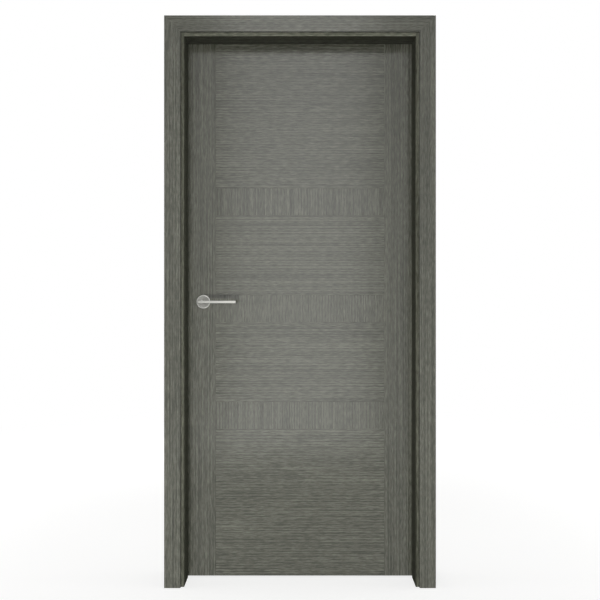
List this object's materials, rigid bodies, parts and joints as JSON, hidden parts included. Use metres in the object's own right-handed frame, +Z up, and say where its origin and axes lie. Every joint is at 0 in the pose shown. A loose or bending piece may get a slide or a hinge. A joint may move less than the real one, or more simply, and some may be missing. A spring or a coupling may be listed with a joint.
{
  "type": "interior door set, flush veneered leaf in a lining",
  "caption": "Flush interior door leaf with crossed veneer panels, hung in a rebated lining with mitred casings and lever handles on both sides.",
  "frame": {"origin": "on the hinge jamb's wall face, at floor level and in the middle of the lining's depth", "axes": "+X out of the hinge jamb into the wall beside it, +Y the way the leaf opens, +Z up"},
  "size_m": [1.025, 0.204, 2.1095],
  "materials": {
    "veneer": "matt lacquered oak",
    "satin_metal": "satin",
    "seal": "matt"
  },
  "bodies": {
    "frame": {"latch_jamb": "veneer", "hinge_jamb": "veneer", "head_lining": "veneer", "latch_stop": "veneer", "hinge_stop": "veneer", "head_stop": "veneer", "front_latch_casing": "veneer", "front_hinge_casing": "veneer", "front_head_casing": "veneer", "back_latch_casing": "veneer", "back_hinge_casing": "veneer", "back_head_casing": "veneer", "latch_seal": "seal", "hinge_seal": "seal", "head_seal": "seal", "strike_plate": "satin_metal", "hinge_bottom_frame_leaf": "satin_metal", "hinge_middle_frame_leaf": "satin_metal", "hinge_top_frame_leaf": "satin_metal", "hinge_bottom_pin": "satin_metal", "hinge_middle_pin": "satin_metal", "hinge_top_pin": "satin_metal"},
    "leaf": {"latch_stile": "veneer", "hinge_stile": "veneer", "lower_band": "veneer", "middle_band": "veneer", "upper_band": "veneer", "bottom_panel": "veneer", "lower_panel": "veneer", "upper_panel": "veneer", "top_panel": "veneer", "hinge_bottom_door_leaf": "satin_metal", "hinge_middle_door_leaf": "satin_metal", "hinge_top_door_leaf": "satin_metal", "front_rose": "satin_metal", "back_rose": "satin_metal", "latch_forend": "satin_metal", "latch_bolt": "satin_metal"},
    "handle": {"front_lever": "satin_metal", "back_lever": "satin_metal", "spindle": "satin_metal"}
  },
  "joints": [
    {"name": "leaf_swing", "type": "hinge", "parent": "frame", "child": "leaf", "pos_m": [-0.02525, 0.073, 1], "axis": [0, 0, -1], "range_deg": [0, 170]},
    {"name": "lever_turn", "type": "hinge", "parent": "leaf", "child": "handle", "pos_m": [-0.832, 0.045, 1.045], "axis": [0, 1, 0], "range_deg": [0, 45], "stiffness_Nm_per_rad": 1.2, "springref_deg": -28.65}
  ]
}
